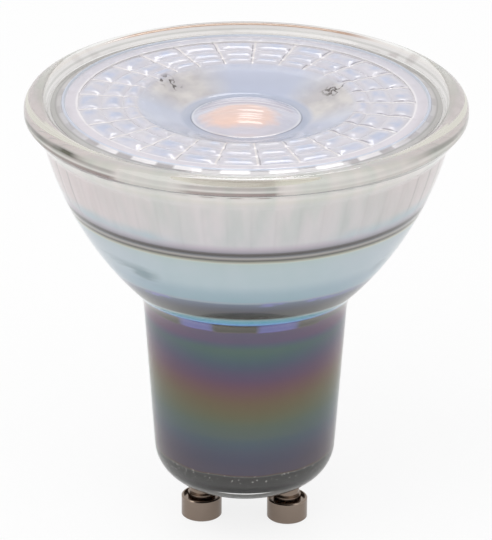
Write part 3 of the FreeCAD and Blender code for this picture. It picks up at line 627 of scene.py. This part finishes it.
# How strong those painted reflection lines are, and the dashes below them, by angle from the front
LINES_ROUND = [
    (-180, 0.25),
    (-75, 0.3),
    (-62, 0.9),
    (-35.5, 1.0),
    (-34, 0.22),
    (-18, 0.25),
    (-14, 0.9),
    (7.5, 1.0),
    (9, 0.2),
    (40, 0.3),
    (120, 0.25),
    (150, 0.9),
    (158, 0.25),
    (180, 0.25),
]
# How far the rim's shoulder carries painted olive shade, by angle from the front
SHOULDER_SHADE_ROUND = [
    (-180, 0.0),
    (-120, 0.3),
    (-92, 0.7),
    (-80, 1.0),
    (-50, 1.0),
    (-42, 0.0),
    (44, 0.0),
    (54, 0.9),
    (75, 0.8),
    (90, 0.5),
    (120, 0.3),
    (180, 0.0),
]
# How far that painted shade climbs towards the front
CLIMB_ROUND = [(-180, 0), (-90, 0), (-54, 1), (54, 1), (90, 0), (180, 0)]
# How strong the copper line inside the crest is, by angle from the front
COPPER_ROUND = [(-180, 1), (-146, 1), (-134, 0.3), (-112, 0.25), (-100, 0), (100, 0), (138, 0.25), (150, 1),
                (180, 1)]
# Tint of the rim's lip by distance from the axis
LIP_TINT = [
    (21.9, (0.6, 0.57, 0.56)),
    (22.5, (0.6, 0.57, 0.56)),
    (22.56, (0.38, 0.37, 0.35)),
    (22.64, (0.38, 0.37, 0.35)),
    (22.7, (0.62, 0.59, 0.58)),
    (23.0, (0.62, 0.58, 0.57)),
    (23.1, (0.78, 0.75, 0.72)),
    (23.6, (0.96, 0.96, 0.93)),
    (25.0, (0.96, 0.96, 0.93)),
]
WHOLE_TINT = (0.975, 0.985, 0.97)
DASH_SHADE_TINT = (0.25, 0.17, 0.17)
SHOULDER_SHADE_TINT = (0.03, 0.032, 0.018)
COPPER_TINT = (0.32, 0.14, 0.07)


def glass_finish():
    nodes = Nodes("clear_glass")
    height = nodes.coordinates()["Z"]
    distance = from_axis(nodes)
    # Painted reflection: the brown lines round the rim's side
    side = nodes.mixed(by_angle(nodes, LINES_ROUND), WHOLE_TINT, levels_ramp(nodes, height, RIM_TINT))

    # A row of dashes of painted shade where the flutes end
    by_flute = around(nodes, FLUTES, 0.0)
    dash_shade = nodes.times(band(nodes, height, 50.36, 50.5, 0.03), window(nodes, by_flute, 0.3, 0.8, 0.1))
    side = marked(nodes, side, dash_shade, DASH_SHADE_TINT, LINES_ROUND)

    # Painted olive shade on the shoulder, in patches
    patchy = nodes.spread(above(nodes, nodes.noise(200.0, 3.0), 0.35, 0.3), 0.5, 1.0)
    climbed = nodes.times(by_angle(nodes, CLIMB_ROUND), 0.75 * MM)
    shoulder = band(nodes, nodes.math("SUBTRACT", height, climbed), crest - 1.65, crest - 1.15, 0.1)
    side = marked(nodes, side, nodes.times(patchy, shoulder), SHOULDER_SHADE_TINT, SHOULDER_SHADE_ROUND)

    # The lip, with its copper line
    share = nodes.math("DIVIDE", distance, rim_radius * MM)
    lip = nodes.ramp(share, [(radius / rim_radius, colour) for radius, colour in LIP_TINT])
    lip = marked(nodes, lip, band(nodes, distance, 23.06, 23.56, 0.05), COPPER_TINT, COPPER_ROUND)
    high = nodes.math("GREATER_THAN", height, (lip_level - 0.05) * MM)
    within = nodes.math("LESS_THAN", distance, (crest_radius + 0.1) * MM)
    nodes.set(
        Base_Color=nodes.mixed(nodes.times(high, within), side, lip),
        Roughness=nodes.spread(nodes.noise(120.0, 1.0), 0.0, 0.02),
        IOR=1.52,
        Transmission_Weight=1.0,
    )
    nodes.bump(nodes.noise(140.0, 1.0), 0.00002)
    passed_by(nodes, (0.95, 0.95, 0.95), linear(215, 212, 202))
    return nodes.material


# What lies behind the glass, by height above the pins' ends in millimetres: its colour before film and light, but for
# two lines of painted highlight.
# First the neck, then the cup from the level where the sleeve ends.
NECK = [
    (5.3, linear(16, 14, 12)),
    (9.6, linear(20, 17, 14)),
    (9.75, linear(46, 40, 40)),
    (11.5, linear(44, 37, 36)),
    (12.8, linear(56, 44, 38)),
    (14.8, linear(54, 40, 36)),
    (16.5, linear(40, 33, 33)),
    (21.0, linear(38, 28, 30)),
    (23.5, linear(46, 42, 46)),
    (25.0, linear(60, 50, 58)),
    (27.0, linear(68, 56, 64)),
    (28.3, linear(62, 56, 58)),
    (29.9, linear(50, 48, 44)),
    (30.3, linear(50, 50, 66)),
    # 30.42 to 31.55: painted highlight, a bright cyan line on the bend above the neck
    (30.42, linear(96, 146, 222)),
    (30.68, linear(110, 166, 226)),
    (30.9, linear(96, 166, 192)),
    (31.25, linear(108, 168, 188)),
    (31.55, linear(140, 162, 162)),
    (31.7, linear(12, 12, 12)),
    (32.0, linear(14, 16, 16)),
    (32.45, linear(28, 32, 32)),
    (32.9, linear(49, 49, 60)),
    (33.3, linear(54, 58, 78)),
    (33.8, linear(74, 84, 106)),
    (34.25, linear(95, 108, 130)),
    (34.38, linear(134, 154, 168)),
]
SLEEVE_TOP = 34.4
CUP = [
    (34.4, linear(138, 158, 172)),
    (34.75, linear(146, 164, 178)),
    (35.9, linear(158, 172, 186)),
    (37.2, linear(182, 191, 200)),
    (39.5, linear(188, 194, 202)),
    (40.5, linear(190, 196, 200)),
    (40.7, linear(212, 216, 192)),
    (40.9, linear(70, 66, 62)),
    (41.18, linear(84, 82, 86)),
    # 41.26 and 41.4: painted highlight, a thin light line in the dark ring at the ledge
    (41.26, linear(196, 190, 182)),
    (41.4, linear(190, 186, 180)),
    (41.48, linear(104, 106, 114)),
    (41.7, linear(104, 106, 114)),
    (41.78, linear(60, 54, 50)),
    (42.0, linear(60, 54, 52)),
    (42.25, linear(148, 144, 154)),
    (42.7, linear(186, 177, 188)),
    (43.3, linear(205, 204, 207)),
    (49.1, linear(210, 207, 206)),
    (49.7, linear(218, 215, 209)),
    (50.2, linear(236, 233, 229)),
    (50.7, linear(236, 233, 229)),
]
# Thickness of the clear film on the inner wall, in nanometres, by the same heights
FILM = [
    (5.3, 0),
    (9.55, 0),
    (9.65, 168),
    (11.0, 172),
    (12.5, 184),
    (14.1, 208),
    (14.7, 222),
    (16.1, 236),
    (17.0, 251),
    (18.2, 265),
    (19.1, 274),
    (20.1, 290),
    (21.3, 308),
    (22.2, 326),
    (23.2, 338),
    (24.1, 354),
    (24.8, 367),
    (25.5, 377),
    (25.9, 384),
    (27.1, 336),
    (28.75, 331),
    (28.77, 0),
    (34.4, 0),
    (34.5, 386),
    (40.6, 386),
    (41.0, 0),
]
THICKEST = 1000.0
# What the coat looks like by way of the rim, and the number of turns from which it does
TURNED_COLOUR = linear(246, 243, 236)
TURNED_FROM = 2.5
# Where single marks lie on the wall, by angle from the front
FLUTE_LINES_ROUND = [(-180, 0.2), (-82, 0.5), (-78, 1), (-64, 0.9), (-56, 0.1), (56, 0.1), (62, 0.9), (76, 1), (82, 0.5),
               (180, 0.2)]
PINK_ROUND = [(-180, 0.5), (-68, 0.8), (-42, 0.4), (-22, 0), (34, 0), (55, 0.5), (75, 0.7), (180, 0.5)]
BLUE_ROUND = [(-180, 0.2), (-70, 0.2), (-61, 1), (-26, 1), (-18, 0), (22, 0), (30, 1), (64, 1), (74, 0.2), (180, 0.2)]
STREAK_ROUND = [(-180, 0), (-72, 0), (-66, 1), (-42, 1), (-34, 0), (58, 0), (64, 0.6), (72, 0), (180, 0)]
FLECKS_ROUND = [(-180, 0.6), (-70, 1), (-38, 1), (-30, 0), (4, 0), (10, 1), (32, 1), (60, 0.4), (180, 0.6)]
VIOLET_ROUND = [(-180, 0), (-43, 0), (-38, 1), (-22, 1), (-18, 0), (6, 0), (10, 1), (29, 1), (34, 0), (180, 0)]
BARE_ROUND = [(-180, 0), (-62, 0), (-59, 1), (-44, 1), (-41, 0), (-19, 0), (-18, 1), (6, 1), (7, 0), (33, 0),
              (35, 1), (45, 1), (48, 0), (180, 0)]


def coat_finish():
    """The thin coat on the inner wall, with what shows through it. It ends below in a wavy edge."""
    nodes = Nodes("colour_shifting_coat")
    height = nodes.coordinates()["Z"]
    reach = nodes.spread(nodes.slope(height, 10.5 * MM, 12.0 * MM), 0.5 * MM, 0.08 * MM)
    sway = nodes.math("SUBTRACT", nodes.noise(220.0, 3.0), 0.5)
    level = nodes.math("ADD", height, nodes.times(sway, reach))
    in_cup = nodes.math("GREATER_THAN", level, SLEEVE_TOP * MM)
    colour = nodes.mixed(in_cup, levels_ramp(nodes, level, NECK), levels_ramp(nodes, level, CUP))

    # Upright streaks on the fluted wall, some greenish and some pink
    streak = nodes.noise(420.0, 2.0, (1, 1, 0.1))
    pale = nodes.mixed(above(nodes, streak, 0.35, 0.3), (0.86, 0.9, 0.88), (1.0, 0.97, 0.975))
    fluted_part = nodes.spread(above(nodes, height, 42.5 * MM, 1.0 * MM), 0.3, 1.0)
    colour = nodes.mixed(fluted_part, colour, nodes.mixed(1.0, colour, pale, "MULTIPLY"))
    colour = marked(nodes, colour, band(nodes, height, 44.0, 49.2, 0.6), linear(216, 202, 202), PINK_ROUND)
    # Thin dark lines along the flutes, at some angles from the front
    flute_line = window(nodes, around(nodes, FLUTES, 0.0), 0.1, 0.2, 0.05)
    flute_line = nodes.times(flute_line, band(nodes, height, 42.5, 48.5, 0.8), 0.6)
    colour = marked(nodes, colour, flute_line, linear(120, 122, 120), FLUTE_LINES_ROUND)

    # Bluish patches just above the ledge, and dark streaks below it
    broad = nodes.spread(above(nodes, nodes.noise(160.0, 2.0, (1, 1, 0.5)), 0.42, 0.16), 0.2, 1.0)
    blue = nodes.times(band(nodes, height, 42.7, 43.7, 0.5), broad, 0.8)
    colour = marked(nodes, colour, blue, linear(172, 190, 200), BLUE_ROUND)
    sideways = above(nodes, nodes.noise(130.0, 2.0, (1, 1, 5)), 0.5, 0.1)
    smear = nodes.times(band(nodes, height, 36.0, 38.0, 0.6), sideways, 0.75)
    colour = marked(nodes, colour, smear, linear(104, 118, 128), STREAK_ROUND)

    # Flecks where the sleeve ends, and beside the bright line violet stretches and bare dark patches
    spot = nodes.noise(420.0, 3.0, (1, 1, 2.5))
    fleck = nodes.times(band(nodes, level, 33.9, 34.45, 0.1), above(nodes, spot, 0.52, 0.03))
    colour = marked(nodes, colour, fleck, linear(112, 116, 170), FLECKS_ROUND)
    ragged = nodes.math("ADD", height, nodes.times(nodes.math("SUBTRACT", spot, 0.5), 0.8 * MM))
    by_line = band(nodes, ragged, 28.6, 30.3, 0.1)
    colour = marked(nodes, colour, by_line, linear(84, 86, 150), VIOLET_ROUND)
    colour = marked(nodes, colour, by_line, linear(52, 48, 34), BARE_ROUND)

    # Silvery specks along the coat's lower edge
    speck = nodes.times(band(nodes, level, 8.8, 9.7, 0.1), above(nodes, nodes.noise(2800.0, 1.0), 0.64, 0.05))
    colour = nodes.mixed(speck, colour, linear(130, 128, 124))

    # Seen by way of the rim, where light has turned inside the glass, it all runs together
    depth = nodes.add("ShaderNodeLightPath").outputs["Ray Depth"]
    colour = nodes.mixed(nodes.math("GREATER_THAN", depth, TURNED_FROM), colour, TURNED_COLOUR)
    film = levels_ramp(nodes, level, [(at, (thick / THICKEST,) * 3) for at, thick in FILM])
    film = marked(nodes, film, by_line, (0.0, 0.0, 0.0), BARE_ROUND)
    nodes.set(
        Base_Color=colour,
        Roughness=nodes.spread(nodes.noise(300.0), 0.3, 0.4),
        Thin_Film_Thickness=nodes.times(film, THICKEST),
        Thin_Film_IOR=1.7,
        IOR=1.5,
    )
    return nodes.material


# Colours of the lens by distance from its axis in millimetres, with rings of painted highlight
LENS_TINT = [
    (0.0, linear(222, 216, 224)),
    (5.9, linear(210, 211, 224)),
    # 6.0 to 6.1: a painted highlight ring at the foot of the dome
    (6.0, linear(226, 226, 232)),
    (6.1, linear(226, 226, 232)),
    (6.2, linear(168, 176, 196)),
    (7.1, linear(178, 186, 206)),
    (7.6, linear(196, 202, 221)),
    (12.0, linear(204, 209, 225)),
    (12.4, linear(216, 213, 220)),
    (18.8, linear(216, 213, 220)),
    # 18.92 to 19.12: a painted highlight ring on the step at the facets' outer edge
    (18.92, linear(244, 240, 242)),
    (19.12, linear(244, 240, 242)),
    (19.25, linear(221, 216, 223)),
    (20.3, linear(221, 216, 223)),
    # 20.45 to 20.72: the ridge's painted highlight line
    (20.45, linear(208, 216, 232)),
    (20.72, linear(208, 216, 232)),
    (20.82, linear(184, 180, 179)),
    (21.35, linear(182, 178, 176)),
    (21.45, linear(150, 148, 146)),
    (21.55, linear(184, 182, 178)),
    (22.0, linear(184, 182, 178)),
]
WHITE = (1.0, 1.0, 1.0)
# How far apart the painted highlight rows on the dome lie
HIGHLIGHT_ROW_PITCH = 1.0
# The edge zone is seen through from the front, and shows the skirt's lugs there as painted white highlights
LUG_HIGHLIGHT_ROUND = [(-180, 0.2), (-60, 0.2), (-44, 0.9), (-30, 1.0), (35, 1.0), (48, 0.8), (60, 0.2), (180, 0.2)]
# How strong the painted shade at the dome's foot is, by angle from the front
DOME_FOOT_SHADE_ROUND = [(-180, 0.1), (-120, 0.2), (-75, 0.8), (-20, 1), (20, 1), (75, 0.8), (120, 0.2), (180, 0.1)]
CURLS_ROUND = [(-180, 0), (-134, 0), (-132, 1), (-125, 1), (-122, 0), (110, 0), (113, 1), (121, 1), (124, 0),
               (180, 0)]


def lens_finish():
    nodes = Nodes("clear_acrylic")
    distance = from_axis(nodes)
    share = nodes.math("DIVIDE", distance, lens_radius * MM)
    soft = nodes.noise(160.0, 1.0)
    fine = nodes.noise(420.0, 2.0)
    colour = nodes.ramp(share, [(min(radius / lens_radius, 1), tint) for radius, tint in LENS_TINT])

    # Facets: bluish in the middle, with a painted white highlight line and a painted grey shade line along their
    # edges
    phase = around(nodes, FACETS, FACET_TURN)
    across = window(nodes, phase, 0.2, 0.8, 0.12)
    along = 0.0
    for low, high in zip(facet_rings, facet_rings[1:]):
        along = nodes.math("ADD", along, band(nodes, distance, low + 0.5, high - 0.4, 0.25))
    core = nodes.times(across, along, above(nodes, fine, 0.38, 0.24))
    colour = nodes.mixed(core, colour, linear(192, 200, 222))
    in_rings = band(nodes, distance, facet_rings[0], facet_rings[3], 0.1)
    broken = above(nodes, nodes.noise(700.0, 2.0), 0.42, 0.1)
    shade = nodes.times(window(nodes, phase, 0.045, 0.075, 0.012), in_rings, broken)
    colour = nodes.mixed(shade, colour, linear(158, 154, 158))
    groove_highlight = nodes.math("SUBTRACT", 1.0, window(nodes, phase, 0.03, 0.975, 0.012))
    colour = nodes.mixed(nodes.times(groove_highlight, in_rings), colour, linear(240, 234, 232))

    # Lugs of the skirt show through the edge as painted white highlights
    on_edge = band(nodes, distance, ridge_radius + 0.14, ridge_radius + 0.66, 0.05)
    lug_highlight = nodes.times(window(nodes, phase, 0.2, 0.8, 0.03), on_edge)
    colour = marked(nodes, colour, lug_highlight, linear(255, 252, 252), LUG_HIGHLIGHT_ROUND)

    # The bowl is greyer over the three legs, which show through it as dark curls
    swing = nodes.math("PINGPONG", around(nodes, 3, LEG_AZIMUTHS[0]), 0.5)
    near_leg = nodes.slope(swing, 0.32, 0.12)
    in_bowl = band(nodes, distance, bowl_radius + 0.3, facet_rings[0], 0.3)
    cloudy = nodes.mixed(above(nodes, nodes.noise(260.0, 3.0, (1, 1, 3)), 0.4, 0.2),
                         linear(196, 192, 194), linear(222, 217, 214))
    colour = nodes.mixed(nodes.times(near_leg, in_bowl), colour, cloudy)
    leg_ring = band(nodes, distance, facet_rings[0] - 2.2, facet_rings[0] + 0.2, 0.3)
    curl = nodes.times(leg_ring, window(nodes, nodes.noise(800.0, 2.0), 0.46, 0.54, 0.015))
    colour = marked(nodes, colour, curl, linear(88, 80, 76), CURLS_ROUND)
    # A painted shade line in the crease round the dome's foot, strongest towards the front
    dome_foot_shade = band(nodes, distance, 6.2, 6.32, 0.05)
    colour = marked(nodes, colour, dome_foot_shade, linear(112, 114, 126), DOME_FOOT_SHADE_ROUND)

    # The light source glows through the dome, with a ragged edge
    spots = nodes.coordinates()
    glow_x = nodes.math("DIVIDE", nodes.math("ADD", spots["X"], 0.5 * MM), 5.0 * MM)
    glow_y = nodes.math("DIVIDE", nodes.math("ADD", spots["Y"], 2.0 * MM), 2.7 * MM)
    out = nodes.math("ADD", nodes.math("POWER", glow_x, 2.0), nodes.math("POWER", glow_y, 2.0))
    wobble = nodes.times(nodes.math("SUBTRACT", fine, 0.5), 1.2)
    glow = nodes.slope(nodes.math("ADD", out, wobble), 1.1, 0.5)
    colour = nodes.mixed(glow, colour, linear(248, 215, 200))

    # The dome's far half is darker, and fine rows of painted highlight cross it
    highlight_row = window(nodes, nodes.math("FRACT", nodes.math("DIVIDE", spots["Y"], HIGHLIGHT_ROW_PITCH * MM)), 0.3, 0.5, 0.12)
    within = nodes.slope(distance, 5.5 * MM, 5.1 * MM)
    far_half = nodes.times(band(nodes, spots["Y"], 0.4, 4.6, 0.5), within)
    colour = nodes.mixed(nodes.times(far_half, 0.7), colour, linear(186, 177, 189))
    highlight_rows = nodes.times(highlight_row, far_half, above(nodes, fine, 0.36, 0.1))
    colour = nodes.mixed(highlight_rows, colour, linear(255, 252, 253))
    nodes.set(
        Base_Color=nodes.mixed(nodes.spread(soft, 0.0, 0.06), colour, WHITE),
        Roughness=nodes.spread(soft, 0.04, 0.08),
        IOR=1.49,
        Transmission_Weight=0.38,
    )
    passed_by(nodes, (0.95, 0.95, 0.97), linear(208, 207, 212))
    return nodes.material


def finishes():
    return {
        "clear_plastic": lens_finish(),
        "clear_sealant": plain("clear_sealant", linear(202, 200, 197), 0.3),
        "spreader_aluminium": plain("satin_aluminium", linear(205, 210, 214), 0.35, 1.0, 1500.0, 0.05),
        "pad_silicone": plain("grey_silicone", linear(160, 164, 168), 0.7),
        "white_board": plain("white_solder_mask", linear(232, 232, 228), 0.4),
        "ceramic": plain("ceramic", linear(222, 218, 205), 0.5),
        "white_silicone": plain("white_silicone", linear(232, 232, 226), 0.35),
        "phosphor": plain("phosphor_gel", linear(242, 186, 130), 0.4, 0.0, 2500.0, 0.1),
        "dark_sleeve": plain("dark_nylon", linear(62, 60, 58), 0.55),
        "circuit_board": plain("green_solder_mask", linear(38, 96, 58), 0.35),
        "black_epoxy": plain("black_epoxy", linear(34, 34, 36), 0.5),
        "can_aluminium": plain("drawn_aluminium", linear(190, 192, 196), 0.3, 1.0),
        "film_box": plain("yellow_box", linear(206, 160, 48), 0.35),
        "lacquer": plain("blue_lacquer", linear(64, 104, 140), 0.3),
        "resistor_chip": plain("resistor_film", linear(40, 40, 42), 0.4),
        "ferrite": plain("ferrite", linear(52, 52, 56), 0.6),
        "copper_wire": plain("enamelled_copper", linear(190, 108, 62), 0.3, 0.8, 4000.0, 0.15, 0.00003, (1, 6, 1)),
        "pin_metal": plain("nickelled_brass", linear(140, 126, 115), 0.2, 1.0, 1200.0, 0.06, 0.000003, (1, 1, 6)),
        "tinned_wire": plain("tinned_copper", linear(196, 196, 196), 0.3, 1.0),
        "red_insulation": plain("red_insulation", linear(176, 40, 34), 0.35),
        "black_insulation": plain("black_insulation", linear(30, 30, 30), 0.35),
    }


def dress():
    made = finishes()
    for item in frame["record"]["subparts"]:
        node = frame["nodes"][item["node"]]
        if item["material_slot"] in made:
            node.data.materials.clear()
            node.data.materials.append(made[item["material_slot"]])
    return made


# Stage

TARGET = Vector((0.05, 0, 31.22)) * MM
DISTANCE = 500 * MM
ELEVATION = math.radians(23.76)
ROLL = math.radians(0.3)
FOCAL_LENGTH = 291.98
SENSOR_WIDTH = 36


def make_camera():
    back = Vector((
        math.sin(AZIMUTH) * math.cos(ELEVATION),
        -math.cos(AZIMUTH) * math.cos(ELEVATION),
        math.sin(ELEVATION),
    ))
    right = Vector((0, 0, 1)).cross(back).normalized()
    up = back.cross(right)
    data = bpy.data.cameras.new("camera")
    data.lens = FOCAL_LENGTH
    data.sensor_width = SENSOR_WIDTH
    camera = bpy.data.objects.new("camera", data)
    tilted_right = right * math.cos(ROLL) + up * math.sin(ROLL)
    tilted_up = up * math.cos(ROLL) - right * math.sin(ROLL)
    turn = Matrix((tilted_right, tilted_up, back)).transposed()
    camera.matrix_world = Matrix.LocRotScale(TARGET + back * DISTANCE, turn, None)
    bpy.context.scene.collection.objects.link(camera)
    bpy.context.scene.camera = camera


def by_ray(tree, otherwise, **shares):
    """A number that depends on the kind of ray: camera, glossy or transmission, and otherwise."""
    path = tree.nodes.new("ShaderNodeLightPath").outputs
    value = otherwise
    for kind, share in shares.items():
        pick = tree.nodes.new("ShaderNodeMix")
        pick.inputs[3].default_value = share
        tree.links.new(path["Is %s Ray" % kind.capitalize()], pick.inputs[0])
        if isinstance(value, bpy.types.NodeSocket):
            tree.links.new(value, pick.inputs[2])
        else:
            pick.inputs[2].default_value = value
        value = pick.outputs[0]
    return value


# The white room's light on the lamp. What the camera sees of it, straight or by glass and gloss, is full white.
WORLD_LIGHT = 0.66
# The same shares for the floor, which keeps the shadow
FLOOR_SHARES = {"camera": 0.82, "glossy": 0.5, "transmission": 0.7}
FLOOR_HALF = 1.5
# Name, azimuth and elevation in degrees, distance and width in metres, watts
LAMPS = [
    ("key", -35, 50, 0.8, 0.9, 2.9),
    ("fill", 50, 35, 0.9, 0.9, 1.5),
    ("back", 180, 46, 0.8, 0.2, 0.42),
]


def make_world():
    world = bpy.data.worlds.new("white_room")
    world.use_nodes = True
    bpy.context.scene.world = world
    tree = world.node_tree
    background = tree.nodes["Background"]
    background.inputs["Color"].default_value = (1, 1, 1, 1)
    seen = by_ray(tree, WORLD_LIGHT, camera=1.0, glossy=1.0, transmission=1.0)
    tree.links.new(seen, background.inputs["Strength"])


def make_lamp(name, azimuth, elevation, distance, width, watts):
    a, e = math.radians(azimuth), math.radians(elevation)
    away = Vector((math.sin(a) * math.cos(e), -math.cos(a) * math.cos(e), math.sin(e)))
    data = bpy.data.lights.new(name, "AREA")
    data.shape = "DISK"
    data.size = width
    data.energy = watts
    lamp = bpy.data.objects.new(name, data)
    lamp.location = TARGET + away * distance
    lamp.rotation_mode = "QUATERNION"
    lamp.rotation_quaternion = away.to_track_quat("Z", "Y")
    bpy.context.scene.collection.objects.link(lamp)


def make_floor():
    mesh = bpy.data.meshes.new("floor")
    half = FLOOR_HALF
    mesh.from_pydata([(-half, -half, 0), (half, -half, 0), (half, half, 0), (-half, half, 0)], [], [(0, 1, 2, 3)])
    floor = bpy.data.objects.new("floor", mesh)
    bpy.context.scene.collection.objects.link(floor)
    nodes = Nodes("white_sweep")
    grain = nodes.noise(8.0, 2.0)
    nodes.set(Base_Color=nodes.mixed(grain, (0.93, 0.93, 0.93), (0.95, 0.95, 0.95)), Roughness=0.9)
    lit = nodes.add("ShaderNodeEmission", {"Color": (1, 1, 1, 1)})
    share = by_ray(nodes.tree, 0.0, **FLOOR_SHARES)
    mix = nodes.add("ShaderNodeMixShader", {0: share, 1: nodes.shader.outputs[0], 2: lit.outputs[0]})
    nodes.give(nodes.output.inputs["Surface"], mix.outputs[0])
    mesh.materials.append(nodes.material)


finish_by_slot = dress()
glass = make_glass()
glass.data.materials.append(glass_finish())
glass.data.materials.append(coat_finish())
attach(glass, "root")
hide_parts("glass_body")
lens = make_lens()
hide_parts("lens")
for piece in [lens] + make_legs():
    piece.data.materials.append(finish_by_slot["clear_plastic"])
    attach(piece, "root")

make_camera()
make_world()
for lamp in LAMPS:
    make_lamp(*lamp)
make_floor()
scene = bpy.context.scene
scene.view_settings.view_transform = "Standard"
